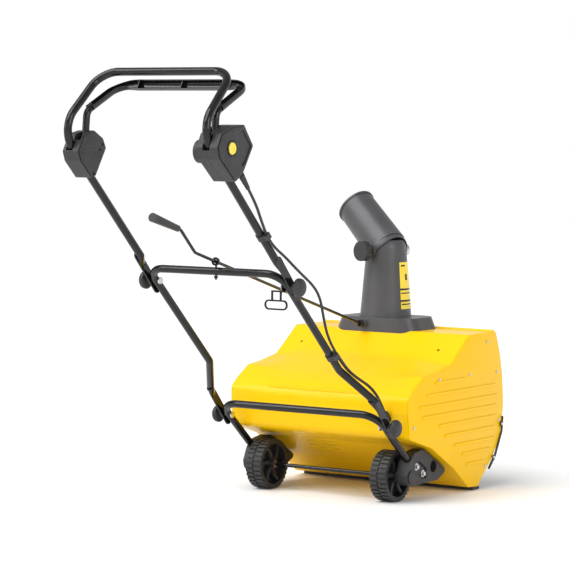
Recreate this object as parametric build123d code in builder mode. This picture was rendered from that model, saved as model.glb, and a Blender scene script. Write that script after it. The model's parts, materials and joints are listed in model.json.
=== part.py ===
from build123d import *
import os
from math import atan2, cos, degrees, hypot, pi, radians, sin, tan

# Single-stage electric snow blower.
# +X is the operator's right, +Y is forward to the intake, +Z is up.
# The origin is on the ground under the middle of the whole machine. Millimetres.

os.makedirs("parts", exist_ok=True)

# ---------------------------------------------------------------- driving dimensions
MIDDLE_Y = 8.5              # every Y below is measured from a line this far behind the origin
HOUSING_W = 530.0           # outer width of the rotor housing
WALL = 3.5                  # moulded cowl wall
COVER_T = 3.0               # side cover thickness
TUBE_R = 9.5                # frame tube radius
TUBE_WALL = 1.5
RUN = 0.08                  # radial clearance of a shaft that turns in a bore
GAP = 0.3                   # gap between curved faces on different bodies

AXLE_Y = 202.0              # wheel axle
AXLE_Z = 64.0
AXLE_R = 5.0
WHEEL_R = 64.0
WHEEL_W = 46.0
WHEEL_X = 186.0             # middle of each wheel

ROTOR_Y = 497.0             # rotor shaft
ROTOR_Z = 150.0
ROTOR_R = 124.0
ROTOR_SHAFT_R = 8.0
LINER_R = 129.0             # inside of the rotor chamber
PLATE_X = 234.0             # inner face of each steel side plate
PLATE_T = 2.5

MOTOR_Y = 262.0
MOTOR_Z = 222.0
MOTOR_R = 42.0
MOTOR_WALL = 14.0           # can and winding
MOTOR_SHAFT_R = 6.0
PULLEY_SMALL_R = 14.0
PULLEY_BIG_R = 56.0
BELT_X = 250.0              # middle of the belt
BELT_W = 8.0
BELT_T = 4.0

CHUTE_X = -26.0             # chute swivel axis
CHUTE_Y = 516.0
TOP_Z = 403.0               # housing top
CHUTE_YAW = 74.0            # rest pose: degrees turned to the left of straight ahead
PIVOT_Z = 606.0             # deflector pivot height
BASE_TOP_Z = 434.0          # top of the chute base
TOWER_FOOT_R = 68.0
TOWER_TOP_R = 53.0
TOWER_WALL = 3.5
DEFLECTOR_TILT = 38.0       # rest pose: degrees above level

LEG_X = 195.4               # upper handle legs
MID_X = 191.0               # middle frame legs
LOW_X = 233.0               # lower frame legs
MID_PIVOT_Y, MID_PIVOT_Z = -271.0, 557.0
LOW_PIVOT_Y, LOW_PIVOT_Z = 95.0, 197.0
BOLT_R = 4.0                # frame clamp bolts
TONGUE_T = 4.0              # flattened tube end
TONGUE_W = 22.0

BAIL_PIVOT_Y, BAIL_PIVOT_Z = -558.0, 895.0
BAIL_X = 182.0
BAIL_R = 8.0
BUTTON_R = 14.0
BUTTON_Y, BUTTON_Z = -555.0, 879.0

CRANK_FOOT = (-49.0, 426.0, 418.0)     # centre of the crank's drive fork
CRANK_EYE = (8.0, -305.0, 611.0)       # centre of the eye that carries the crank rod
CRANK_R = 3.8
PINION_TEETH = 8
RING_TEETH = 100

CABLE_R = 3.2


def save(context, name):
    """Move a finished piece so the origin is under the machine's middle, label it, write it."""
    placed = context.part.moved(Location((0, -MIDDLE_Y, 0)))
    placed.label = name
    export_step(placed, f"parts/{name}.step")


def rod(start, end, radius, mode=Mode.ADD):
    """Add (or cut) a straight round bar between two points in the current part."""
    axis = Vector(*end) - Vector(*start)
    with BuildSketch(Plane(origin=start, z_dir=axis)) as section:
        Circle(radius)
    extrude(section.sketch, amount=axis.length, mode=mode)


def block(low, high, mode=Mode.ADD):
    """Add (or cut) an upright box given by two opposite corners."""
    with Locations([tuple((a + b) / 2 for a, b in zip(low, high))]):
        Box(*[b - a for a, b in zip(low, high)], mode=mode)


def x_disc(x0, x1, y, z, radius, mode=Mode.ADD):
    """Add (or cut) a disc whose axis runs along X, from x0 to x1."""
    rod((min(x0, x1), y, z), (max(x0, x1), y, z), radius, mode)


def yz_plate(points, x0, x1, corner=0.0, mode=Mode.ADD):
    """Add (or cut) a plate with an outline in the YZ plane, from x0 to x1."""
    with BuildSketch(Plane.YZ.offset(min(x0, x1))) as outline:
        with BuildLine():
            Polyline(*points, close=True)
        make_face()
        if corner:
            fillet(outline.vertices(), corner)
    extrude(outline.sketch, amount=abs(x1 - x0), mode=mode)


def mirrored(points):
    """Points of a U-shaped frame: the right half is given, the left half follows."""
    return [(-x, y, z) for x, y, z in reversed(points)] + list(points)


def bent_tube(points, radii, radius, wall=0.0):
    """Sweep a round tube along straight runs joined by tangent arcs."""
    with BuildLine() as path:
        FilletPolyline(*points, radius=radii)
    with BuildSketch(Plane(origin=path.line @ 0, z_dir=path.line % 0)) as section:
        Circle(radius)
        if wall:
            Circle(radius - wall, mode=Mode.SUBTRACT)
    sweep(section.sketch, path=path.line)


def bolt_hole(x0, x1, y, z, radius):
    """Cut a round hole along X through what has been made so far."""
    x_disc(x0, x1, y, z, radius, Mode.SUBTRACT)


# ---------------------------------------------------------------- rotor housing
HALF_W = HOUSING_W / 2
COVER_IN = HALF_W - COVER_T
COWL_OUTLINE = [            # (y, z), from the scraper up the front, over the top and round the back
    (505, 9), (560, 60), (614, 322), (589, 403), (452, 403), (357, 333), (286, 320),
    (227, 313), (178, 284), (152, 262), (152, 225), (162, 163), (268, 131), (376, 70), (455, 12),
]
COWL_ROUND = 3.9
INTAKE_CUT = [(520, -20), (500, 30), (560, 322), (640, 322), (720, 200), (640, -20)]
VENTS = [(-52, 186), (-59, 229), (-66, 266), (-73, 290), (-80, 311), (-87, 331)]    # middle (x, y)
VENT_LENGTH = 94.0
VENT_WIDTH = 4.4
POCKET_X = 163.0            # two screw pockets high on the rear slope

with BuildPart() as housing_shell:
    with BuildSketch(Plane.YZ.offset(-COVER_IN)) as cowl_section:
        with BuildLine():
            Polyline(*COWL_OUTLINE, close=True)
        make_face()
        fillet(cowl_section.vertices(), COWL_ROUND)
        offset(amount=-WALL, mode=Mode.SUBTRACT)
        with BuildLine():
            Polyline(*INTAKE_CUT, close=True)
        make_face(mode=Mode.SUBTRACT)
    extrude(amount=2 * COVER_IN)
    rod((CHUTE_X, CHUTE_Y, 380), (CHUTE_X, CHUTE_Y, 420), 58.5, Mode.SUBTRACT)
    for vent_x, vent_y in VENTS:
        block((vent_x - VENT_LENGTH / 2, vent_y - VENT_WIDTH / 2, 60),
              (vent_x + VENT_LENGTH / 2, vent_y + VENT_WIDTH / 2, 200), Mode.SUBTRACT)
    for side in (-1, 1):
        rod((side * POCKET_X, 400, 340), (side * POCKET_X, 384, 385), 3.0, Mode.SUBTRACT)
save(housing_shell, "housing_shell")

COVER_OUTLINE = [
    (505, 9), (527, 33), (577, 75), (618, 128), (634, 208), (626, 287), (611, 348), (589, 403),
    (452, 403), (357, 333), (286, 320), (227, 313), (178, 284), (152, 262), (152, 225), (162, 163),
    (268, 131), (376, 70), (455, 12),
]
RIBS = [                    # (rear y, front y, z) of each stiffening rib
    (278, 431, 293), (240, 589, 265), (204, 599, 237), (217, 594, 211), (301, 593, 184),
    (330, 588, 156), (376, 589, 127), (416, 563, 101), (439, 530, 72),
]
RIB_H = 5.0
RIB_PROUD = 1.6
COVER_SCREWS = [(541, 380), (595, 298), (454, 301), (608, 172), (539, 58), (300, 300), (180, 190)]

for side, side_name in ((-1, "left"), (1, "right")):
    with BuildPart() as side_cover:
        yz_plate(COVER_OUTLINE, side * COVER_IN, side * HALF_W, COWL_ROUND)
        with BuildSketch(Plane.YZ.offset(side * HALF_W - (RIB_PROUD if side < 0 else 0))):
            for rear, front, height in RIBS:
                with Locations([((rear + front) / 2, height)]):
                    SlotOverall(front - rear, RIB_H)
        extrude(amount=RIB_PROUD)
        for screw_y, screw_z in COVER_SCREWS:
            bolt_hole(side * COVER_IN, side * (HALF_W + 1), screw_y, screw_z, 2.2)
    save(side_cover, f"side_cover_{side_name}")

PLATE_OUTLINE = [
    (500, 14), (577, 84), (612, 140), (622, 208), (612, 280), (600, 320), (580, 393), (456, 393),
    (362, 324), (292, 311), (232, 304), (186, 277), (161, 255), (161, 228), (170, 170),
    (272, 139), (382, 79), (457, 20),
]
with BuildPart() as side_plates:
    for side in (-1, 1):
        yz_plate(PLATE_OUTLINE, side * PLATE_X, side * (PLATE_X + PLATE_T), 3)
        bolt_hole(side * PLATE_X, side * (PLATE_X + PLATE_T), ROTOR_Y, ROTOR_Z, ROTOR_SHAFT_R + 1)
    bolt_hole(PLATE_X, PLATE_X + PLATE_T, MOTOR_Y, MOTOR_Z, PULLEY_SMALL_R + 3)
save(side_plates, "side_plates")

# rotor chamber: a rolled sheet behind the rotor with the throat that leads up to the chute
LINER_T = 2.5
BROW_Y = ROTOR_Y + 84       # front edge of the chamber, above the rotor
THROAT_R = 57.5
with BuildPart() as rotor_chamber:
    rod((CHUTE_X, CHUTE_Y, 250), (CHUTE_X, CHUTE_Y, TOP_Z - WALL), THROAT_R + 2.5)
    with BuildSketch(Plane.YZ.offset(-PLATE_X)) as chamber_section:
        with Locations([(ROTOR_Y, ROTOR_Z)]):
            Circle(LINER_R + LINER_T)
    extrude(amount=2 * PLATE_X)
    x_disc(-PLATE_X, PLATE_X, ROTOR_Y, ROTOR_Z, LINER_R, Mode.SUBTRACT)
    block((-PLATE_X - 1, ROTOR_Y - 6, -50), (PLATE_X + 1, 720, ROTOR_Z), Mode.SUBTRACT)
    block((-PLATE_X - 1, BROW_Y, -50), (PLATE_X + 1, 720, ROTOR_Z + 130), Mode.SUBTRACT)
    rod((CHUTE_X, CHUTE_Y, 200), (CHUTE_X, CHUTE_Y, 420), THROAT_R, Mode.SUBTRACT)
save(rotor_chamber, "rotor_chamber")

SCRAPER_H = 8.5
SCRAPER_BOLTS = (-210, -70, 70, 210)
SCRAPER_BOLT_Y = 496.0
with BuildPart() as scraper_bar:
    block((-HALF_W + 6, 486, 0), (HALF_W - 6, 522, SCRAPER_H))
    with BuildSketch(Plane.XY.offset(0)):
        with Locations([(bolt_x, SCRAPER_BOLT_Y) for bolt_x in SCRAPER_BOLTS]):
            Circle(2.6)
    extrude(amount=SCRAPER_H, mode=Mode.SUBTRACT)
    chamfer(scraper_bar.edges().filter_by(Axis.X).group_by(Axis.Y)[-1], 2.5)
save(scraper_bar, "scraper_bar")

STRIP_POINTS = [(618, 182), (628, 178), (624, 140), (590, 78), (540, 32), (532, 40), (576, 86), (612, 140)]
with BuildPart() as wear_strips:
    for side in (-1, 1):
        yz_plate(STRIP_POINTS, side * (HALF_W + 0.01), side * (HALF_W + 4), 2)
save(wear_strips, "wear_strips")

# ---------------------------------------------------------------- rotor and belt drive
BEARING_X = PLATE_X + PLATE_T
BEARING_T = 7.0
with BuildPart() as rotor_bearings:
    for side in (-1, 1):
        x_disc(side * BEARING_X, side * (BEARING_X + BEARING_T), ROTOR_Y, ROTOR_Z, 22)
        bolt_hole(side * BEARING_X, side * (BEARING_X + BEARING_T), ROTOR_Y, ROTOR_Z,
                  ROTOR_SHAFT_R + RUN)
save(rotor_bearings, "rotor_bearings")

with BuildPart() as rotor_shaft:
    x_disc(-BEARING_X - BEARING_T - 2, BELT_X + BELT_W / 2 + 2, ROTOR_Y, ROTOR_Z, ROTOR_SHAFT_R)
save(rotor_shaft, "rotor_shaft")

CORE_HALF = 226.0
CORE_R = 26.0
CORE_WALL = 3.0
ARM_REACH = 104.0
ARM_T = 5.0
BLADE_T = 7.0
with BuildPart() as rotor_core:
    with BuildSketch(Plane.YZ.offset(-CORE_HALF)):
        with Locations([(ROTOR_Y, ROTOR_Z)]):
            Circle(CORE_R)
            with PolarLocations(0, 2, start_angle=25):
                with Locations([(ARM_REACH / 2, 0)]):
                    Rectangle(ARM_REACH, ARM_T)
            Circle(CORE_R - CORE_WALL, mode=Mode.SUBTRACT)
    extrude(amount=2 * CORE_HALF)
    for disc_x in (-CORE_HALF, -75, 75, CORE_HALF - 4):
        with BuildSketch(Plane.YZ.offset(disc_x)):
            with Locations([(ROTOR_Y, ROTOR_Z)]):
                Circle(70)
                Circle(ROTOR_SHAFT_R + 0.02, mode=Mode.SUBTRACT)
        extrude(amount=4)
save(rotor_core, "rotor_core")

BLADE_ROOT = 72.0
with BuildPart() as rotor_paddles:
    with BuildSketch(Plane.YZ.offset(-CORE_HALF)):
        with Locations([(ROTOR_Y, ROTOR_Z)]):
            with PolarLocations(0, 2, start_angle=25):
                with Locations([((BLADE_ROOT + ROTOR_R) / 2, (ARM_T + BLADE_T) / 2)]):
                    Rectangle(ROTOR_R - BLADE_ROOT - 1, BLADE_T)
    extrude(amount=2 * CORE_HALF)
save(rotor_paddles, "rotor_paddles")


def pulley(shaft_r, rim_r, y, z):
    """A grooved belt pulley with two flanges."""
    x_disc(BELT_X - BELT_W / 2 - 2, BELT_X + BELT_W / 2 + 2, y, z, rim_r)
    for flange_x in (BELT_X - BELT_W / 2 - 2, BELT_X + BELT_W / 2 + 0.5):
        x_disc(flange_x, flange_x + 1.5, y, z, rim_r + 3)
    bolt_hole(BELT_X - BELT_W, BELT_X + BELT_W, y, z, shaft_r)


with BuildPart() as rotor_pulley:
    pulley(ROTOR_SHAFT_R, PULLEY_BIG_R, ROTOR_Y, ROTOR_Z)
save(rotor_pulley, "rotor_pulley")

with BuildPart() as motor_pulley:
    pulley(MOTOR_SHAFT_R, PULLEY_SMALL_R, MOTOR_Y, MOTOR_Z)
save(motor_pulley, "motor_pulley")

with BuildPart() as drive_belt:
    for depth, belt_mode in ((GAP + BELT_T, Mode.ADD), (GAP, Mode.SUBTRACT)):
        with BuildSketch(Plane.YZ.offset(BELT_X - BELT_W / 2)) as belt_loop:
            with BuildLine():
                CenterArc((ROTOR_Y, ROTOR_Z), PULLEY_BIG_R + depth, 0, 360)
                CenterArc((MOTOR_Y, MOTOR_Z), PULLEY_SMALL_R + depth, 0, 360)
            make_hull()
        extrude(belt_loop.sketch, amount=BELT_W, mode=belt_mode)
save(drive_belt, "drive_belt")

MOTOR_X0 = 62.0
with BuildPart() as motor_body:
    x_disc(MOTOR_X0, PLATE_X, MOTOR_Y, MOTOR_Z, MOTOR_R)
    bolt_hole(MOTOR_X0 + 14, PLATE_X - 10, MOTOR_Y, MOTOR_Z, MOTOR_R - MOTOR_WALL)
    bolt_hole(MOTOR_X0 + 10, PLATE_X + 1, MOTOR_Y, MOTOR_Z, MOTOR_SHAFT_R + RUN)
    for ear in (-1, 1):
        block((PLATE_X - 6, MOTOR_Y + ear * 46 - 8, MOTOR_Z - 10),
              (PLATE_X, MOTOR_Y + ear * 46 + 8, MOTOR_Z + 10))
save(motor_body, "motor_body")

with BuildPart() as motor_shaft:
    x_disc(MOTOR_X0 + 12, BELT_X + BELT_W / 2 + 2, MOTOR_Y, MOTOR_Z, MOTOR_SHAFT_R)
save(motor_shaft, "motor_shaft")

# ---------------------------------------------------------------- wheels, axle, brackets
TREAD_BLOCKS = 32
TREAD_H = 3.0
SPOKES = 6


def hub_point(radius, angle):
    """A point (y, z) at a radius and an angle in degrees about the wheel axle."""
    return (AXLE_Y + radius * cos(radians(angle)), AXLE_Z + radius * sin(radians(angle)))


def wheel(x):
    """A moulded wheel: rim, web, curved spokes, hub and two staggered rows of tread."""
    half = WHEEL_W / 2
    carcass_r = WHEEL_R - TREAD_H
    x_disc(x - half, x + half, AXLE_Y, AXLE_Z, carcass_r)
    for face in (-1, 1):
        x_disc(x + face * 2.5, x + face * half, AXLE_Y, AXLE_Z, carcass_r - 9, Mode.SUBTRACT)
    x_disc(x - half, x + half, AXLE_Y, AXLE_Z, 13)
    with BuildSketch(Plane.YZ.offset(x - half + 5)) as spokes:
        for spoke in range(SPOKES):
            turn = 360 / SPOKES * spoke
            root_a, root_b = hub_point(9, turn - 30), hub_point(9, turn + 30)
            mid_a, mid_b = hub_point(32, turn - 18), hub_point(32, turn - 2)
            tip_a, tip_b = hub_point(54, turn), hub_point(54, turn + 8)
            with BuildLine():
                ThreePointArc(root_a, mid_a, tip_a)
                Line(tip_a, tip_b)
                ThreePointArc(tip_b, mid_b, root_b)
                Line(root_b, root_a)
            make_face()
    extrude(spokes.sketch, amount=WHEEL_W - 10)
    for row_x, lag in ((x - half, 0.0), (x + 2, 0.5)):
        with BuildSketch(Plane.YZ.offset(row_x)) as tread:
            with Locations([(AXLE_Y, AXLE_Z)]):
                with PolarLocations(carcass_r + TREAD_H / 2 - 1, TREAD_BLOCKS,
                                    start_angle=lag * 360 / TREAD_BLOCKS):
                    Rectangle(TREAD_H + 1.8, 8.2)
        extrude(tread.sketch, amount=half - 2)
    bolt_hole(x - half, x + half, AXLE_Y, AXLE_Z, AXLE_R + RUN)


for side, side_name in ((-1, "left"), (1, "right")):
    with BuildPart() as road_wheel:
        wheel(side * WHEEL_X)
    save(road_wheel, f"wheel_{side_name}")

AXLE_END = 242.0
with BuildPart() as axle:
    x_disc(-AXLE_END, AXLE_END, AXLE_Y, AXLE_Z, AXLE_R)
save(axle, "axle")

CLIP_X = WHEEL_X - WHEEL_W / 2 - 4
LEG_FOOT = (205.0, 104.0)             # lower end of each lower frame leg (y, z)
LEG_CORNER = (59.0, 230.0)            # corner of the lower frame (y, z)
BRACKET_IN, BRACKET_OUT = 214.0, 246.0
BRACKET_OUTLINE = [(184, 52), (180, 70), (196, 104), (216, 122), (262, 129), (366, 70), (366, 60),
                   (330, 44), (214, 42), (196, 43)]
BRACKET_BOLTS = [(231, 87), (262, 67)]
BRACKET_BOLT_R = 3.0
POCKET_OUTLINE = [(219, 100), (219, 74), (250, 55), (275, 55), (275, 79), (243, 100)]
with BuildPart() as wheel_brackets:
    for side in (-1, 1):
        yz_plate(BRACKET_OUTLINE, side * BRACKET_IN, side * BRACKET_OUT, 5)
        x_disc(side * BRACKET_OUT, side * (BRACKET_OUT + 3), AXLE_Y, AXLE_Z, 16)
        bolt_hole(side * (BRACKET_OUT - 18), side * BRACKET_OUT, 309, 80, 15)
        yz_plate(POCKET_OUTLINE, side * (BRACKET_OUT - 4), side * (BRACKET_OUT + 1), 4, Mode.SUBTRACT)
        rod((side * LOW_X, *LEG_CORNER), (side * LOW_X, *LEG_FOOT), TUBE_R, Mode.SUBTRACT)
        bolt_hole(side * BRACKET_IN, side * AXLE_END, AXLE_Y, AXLE_Z, AXLE_R)
        for bolt_y, bolt_z in BRACKET_BOLTS:
            bolt_hole(side * BRACKET_IN, side * BRACKET_OUT, bolt_y, bolt_z, BRACKET_BOLT_R)
save(wheel_brackets, "wheel_brackets")

with BuildPart() as housing_fasteners:
    for side in (-1, 1):
        for screw_y, screw_z in COVER_SCREWS:
            x_disc(side * (COVER_IN - 8), side * HALF_W, screw_y, screw_z, 2.0)
            x_disc(side * HALF_W, side * (HALF_W + 2), screw_y, screw_z, 4.0)
        for bolt_y, bolt_z in BRACKET_BOLTS:
            face = side * (BRACKET_OUT - 4)
            x_disc(side * BRACKET_IN, face, bolt_y, bolt_z, BRACKET_BOLT_R)
            x_disc(face, face + side * 1.5, bolt_y, bolt_z, 9)
            with BuildSketch(Plane.YZ.offset(min(face + side * 1.5, face + side * 6.5))):
                with Locations([(bolt_y, bolt_z)]):
                    RegularPolygon(6, 6)
            extrude(amount=5)
        x_disc(side * CLIP_X, side * (CLIP_X + 2.5), AXLE_Y, AXLE_Z, 9)
        bolt_hole(side * CLIP_X, side * (CLIP_X + 2.5), AXLE_Y, AXLE_Z, AXLE_R)
    for bolt_x in SCRAPER_BOLTS:
        rod((bolt_x, SCRAPER_BOLT_Y, 1), (bolt_x, SCRAPER_BOLT_Y, SCRAPER_H), 2.5)
save(housing_fasteners, "housing_fasteners")

# ---------------------------------------------------------------- frames
FRAME_BEND = 50.0
with BuildPart() as lower_frame:
    bent_tube(mirrored([(LOW_X, *LEG_CORNER), (LOW_X, *LEG_FOOT)]), FRAME_BEND, TUBE_R, TUBE_WALL)
    for side in (-1, 1):
        bolt_hole(side * (LOW_X - 12), side * (LOW_X + 12), LOW_PIVOT_Y, LOW_PIVOT_Z, BOLT_R + RUN)
save(lower_frame, "lower_frame")

LOW_TONGUE_X = LOW_X + TUBE_R + GAP   # inner face of the flattened ends at the lower pivot
MID_TONGUE_X = MID_X + TUBE_R + GAP   # inner face of the flattened ends at the middle pivot


def tongue(side, x_in, start, end):
    """A flattened tube end with round tips, from start to end in (y, z)."""
    length = hypot(end[0] - start[0], end[1] - start[1])
    tilt = degrees(atan2(end[1] - start[1], end[0] - start[0]))
    with BuildSketch(Plane.YZ.offset(min(side * x_in, side * (x_in + TONGUE_T)))) as flat:
        with Locations([((start[0] + end[0]) / 2, (start[1] + end[1]) / 2)]):
            SlotCenterToCenter(length, TONGUE_W, rotation=tilt)
    extrude(flat.sketch, amount=TONGUE_T)


MID_LEG = [(MID_X, -303, 588), (MID_X, -48, 346), (245, 33, 266), (245, 44, 252)]
with BuildPart() as middle_frame:
    bent_tube(mirrored(MID_LEG[:3]), [28, 43, 43, 28], TUBE_R, TUBE_WALL)
    for side in (-1, 1):
        tongue(side, LOW_TONGUE_X, (38, 261), (110, 180))
        bolt_hole(side * 170, side * 210, MID_PIVOT_Y, MID_PIVOT_Z, BOLT_R)
        bolt_hole(side * 240, side * 250, LOW_PIVOT_Y, LOW_PIVOT_Z, BOLT_R)
    rod((CRANK_EYE[0], -303, 570), (CRANK_EYE[0], -303, 600), 2.5, Mode.SUBTRACT)
save(middle_frame, "middle_frame")

HANDLE_LEG = [(186.0, -492, 1051), (LEG_X, -632, 918), (LEG_X, -326, 617)]
with BuildPart() as upper_handle:
    bent_tube(mirrored(HANDLE_LEG), [60, 52, 52, 60], TUBE_R, TUBE_WALL)
    for side in (-1, 1):
        tongue(side, MID_TONGUE_X, (-330, 620), (-252, 536))
        bolt_hole(side * 199, side * 206, MID_PIVOT_Y, MID_PIVOT_Z, BOLT_R + RUN)
save(upper_handle, "upper_handle")

# carriage bolts: dome heads inside, shanks through both tubes, washers and knobs outside
HOOK_PLATE_T = 2.2
HEAD_GAP = 1.3              # between a bolt head and the side of its tube
MID_BOLT = (MID_X, MID_PIVOT_Y, MID_PIVOT_Z, MID_TONGUE_X + TONGUE_T)
LOW_BOLT = (LOW_X, LOW_PIVOT_Y, LOW_PIVOT_Z, LOW_TONGUE_X + TONGUE_T)
KNOB_R = 22.0
KNOB_DEPTH = 17.0
HUB_DEPTH = 9.0
WASHER_T = 1.6


def pivot_bolts(tube_x, y, z, outer_x, hook_room):
    """Both bolts and washers of one pivot; the right head leaves room for a hook plate."""
    for side, spare in ((-1, 0.0), (1, hook_room)):
        head_x = tube_x - TUBE_R - HEAD_GAP - spare
        x_disc(side * (head_x - 3.4), side * head_x, y, z, 8.5)
        x_disc(side * head_x, side * (outer_x + 16), y, z, BOLT_R - 0.02)
        washer_x = side * (outer_x + 0.2)
        with BuildSketch(Plane.YZ.offset(min(washer_x, washer_x + side * WASHER_T))) as ring:
            with Locations([(y, z)]):
                Circle(9.5)
                Circle(BOLT_R, mode=Mode.SUBTRACT)
        extrude(ring.sketch, amount=WASHER_T)


def clamp_knob(side, tube_x, y, z, outer_x):
    """A round clamp knob with a fluted back and a blind bore on the bolt."""
    seat = outer_x + 0.2 + WASHER_T + 0.2
    x_disc(side * seat, side * (seat + HUB_DEPTH), y, z, 9)
    with BuildSketch(Plane.YZ.offset(min(side * (seat + HUB_DEPTH - 1),
                                         side * (seat + HUB_DEPTH + KNOB_DEPTH - 6)))) as flutes:
        with Locations([(y, z)]):
            Circle(KNOB_R)
            with PolarLocations(KNOB_R + 2, 8):
                Circle(5, mode=Mode.SUBTRACT)
    extrude(flutes.sketch, amount=KNOB_DEPTH - 5)
    x_disc(side * (seat + HUB_DEPTH + KNOB_DEPTH - 6), side * (seat + HUB_DEPTH + KNOB_DEPTH), y, z, KNOB_R)
    bolt_hole(side * seat, side * (outer_x + 18), y, z, BOLT_R + RUN)


for pivot_name, bolt, hook_room in (("middle", MID_BOLT, HOOK_PLATE_T + 0.2), ("lower", LOW_BOLT, 0.0)):
    with BuildPart() as bolts:
        pivot_bolts(*bolt, hook_room)
    save(bolts, f"{pivot_name}_pivot_bolts")
    for side, side_name in ((-1, "left"), (1, "right")):
        with BuildPart() as knob:
            clamp_knob(side, *bolt)
        save(knob, f"{pivot_name}_knob_{side_name}")

# ---------------------------------------------------------------- handle controls
BAIL_LEG = [(BAIL_X, -430, 1020), (BAIL_X, -552, 960), (BAIL_X, BAIL_PIVOT_Y, BAIL_PIVOT_Z)]
BAIL_PIN_R = 4.0
with BuildPart() as bail_lever:
    bent_tube(mirrored(BAIL_LEG), [26, 44, 44, 26], BAIL_R)
    for side in (-1, 1):
        x_disc(side * (BAIL_X - 9), side * (BAIL_X + 9), BAIL_PIVOT_Y, BAIL_PIVOT_Z, BAIL_R + 0.6)
    bolt_hole(-BAIL_X - 20, BAIL_X + 20, BAIL_PIVOT_Y, BAIL_PIVOT_Z, BAIL_PIN_R)
save(bail_lever, "bail_lever")

SWITCH_OUTLINE = [(-549, 929), (-506, 932), (-492, 913), (-470, 885), (-511, 821), (-541, 804),
                  (-601, 855), (-610, 880), (-593, 912)]
PIVOT_BOX_OUTLINE = [(-580, 908), (-542, 916), (-508, 897), (-497, 875), (-535, 812), (-552, 806),
                     (-594, 846), (-602, 868)]
SWITCH_IN, SWITCH_OUT = 170.0, 226.0
PIVOT_BOX_IN, PIVOT_BOX_OUT = 169.0, 213.0
BOX_WALL = 2.5


def leg_room(side):
    """Cut the bore of the straight handle leg and a slot round the start of its bend."""
    rod((side * LEG_X, -600, 886.5), (side * LEG_X, -326, 617), TUBE_R + 0.15, Mode.SUBTRACT)
    with BuildSketch(Plane.YZ.offset(side * LEG_X - TUBE_R - 0.3)) as bend_slot:
        with Locations([(-606, 899.5)]):
            SlotCenterToCenter(38.5, 25, rotation=114.6)
    extrude(bend_slot.sketch, amount=2 * TUBE_R + 0.6, mode=Mode.SUBTRACT)


def bail_room(side):
    """Cut the pocket in which the bail arm swings, and the bores of its pin."""
    mid_x = side * BAIL_X
    x_disc(mid_x - 9.6, mid_x + 9.6, BAIL_PIVOT_Y, BAIL_PIVOT_Z, BAIL_R + 1.2, Mode.SUBTRACT)
    block((mid_x - 9.6, BAIL_PIVOT_Y - 34, BAIL_PIVOT_Z - 1),
          (mid_x + 9.6, BAIL_PIVOT_Y + 14, BAIL_PIVOT_Z + 60), Mode.SUBTRACT)
    x_disc(mid_x - 12.2, mid_x + 12.2, BAIL_PIVOT_Y, BAIL_PIVOT_Z, BAIL_PIN_R + RUN, Mode.SUBTRACT)
    if side < 0:
        x_disc(mid_x - 13.4, mid_x - 9, BAIL_PIVOT_Y, BAIL_PIVOT_Z, 8.2, Mode.SUBTRACT)


SPLIT_GAP = 0.2
BOX_PARTS = (
    ("switch_box_inner", 1, SWITCH_OUTLINE, SWITCH_IN, LEG_X - SPLIT_GAP),
    ("switch_box_outer", 1, SWITCH_OUTLINE, LEG_X + SPLIT_GAP, SWITCH_OUT),
    ("pivot_box_inner", -1, PIVOT_BOX_OUTLINE, PIVOT_BOX_IN, LEG_X - SPLIT_GAP),
    ("pivot_box_outer", -1, PIVOT_BOX_OUTLINE, LEG_X + SPLIT_GAP, PIVOT_BOX_OUT),
)
BOX_SCREWS = {1: [(-538, 920), (-548, 818)], -1: [(-512, 884), (-522, 872), (-545, 816)]}
CAVITY = [(-530, 912), (-508, 915), (-478, 885), (-510, 838), (-520, 856), (-530, 880)]
BUTTON_TRAVEL = 5.0
for box_name, side, outline, near, far in BOX_PARTS:
    with BuildPart() as box_half:
        yz_plate(outline, side * near, side * far, 6)
        leg_room(side)
        bail_room(side)
        for screw_y, screw_z in BOX_SCREWS[side]:
            bolt_hole(side * near, side * far, screw_y, screw_z, 1.6)
        if box_name == "switch_box_inner":
            yz_plate(CAVITY, LEG_X - 16, LEG_X, 2, Mode.SUBTRACT)
            x_disc(SWITCH_IN - 14, SWITCH_IN, -578, 872, 26)
            x_disc(SWITCH_IN - 14, SWITCH_IN - 2, -578, 872, 22, Mode.SUBTRACT)
        if box_name == "switch_box_outer":
            yz_plate(CAVITY, LEG_X, SWITCH_OUT - BOX_WALL - 4, 2, Mode.SUBTRACT)
            x_disc(LEG_X + 13, SWITCH_OUT, BUTTON_Y, BUTTON_Z, BUTTON_R + GAP, Mode.SUBTRACT)
    save(box_half, box_name)

with BuildPart() as handle_fasteners:
    for side, reach in ((1, SWITCH_IN), (-1, PIVOT_BOX_IN)):
        for screw_y, screw_z in BOX_SCREWS[side]:
            x_disc(side * (reach + 3), side * (LEG_X + 14), screw_y, screw_z, 1.5)
        x_disc(side * (BAIL_X - 12), side * (BAIL_X + 12), BAIL_PIVOT_Y, BAIL_PIVOT_Z, BAIL_PIN_R)
save(handle_fasteners, "handle_fasteners")

BUTTON_FLOOR = LEG_X + 13 + BUTTON_TRAVEL + 1
BUTTON_CUP = 6.5
with BuildPart() as lock_button:
    x_disc(BUTTON_FLOOR, SWITCH_OUT + 5, BUTTON_Y, BUTTON_Z, BUTTON_R)
    fillet(lock_button.edges().filter_by(GeomType.CIRCLE).sort_by(Axis.X)[-1], 2.5)
    x_disc(BUTTON_FLOOR, BUTTON_FLOOR + BUTTON_CUP, BUTTON_Y, BUTTON_Z, 8, Mode.SUBTRACT)
save(lock_button, "lock_button")

with BuildPart() as button_spring:
    for turn in range(3):
        coil_x = LEG_X + 13.2 + turn * 2.4
        with BuildSketch(Plane.YZ.offset(coil_x)):
            with Locations([(BUTTON_Y, BUTTON_Z)]):
                Circle(7)
                Circle(5.6, mode=Mode.SUBTRACT)
        extrude(amount=1.0)
save(button_spring, "button_spring")

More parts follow.
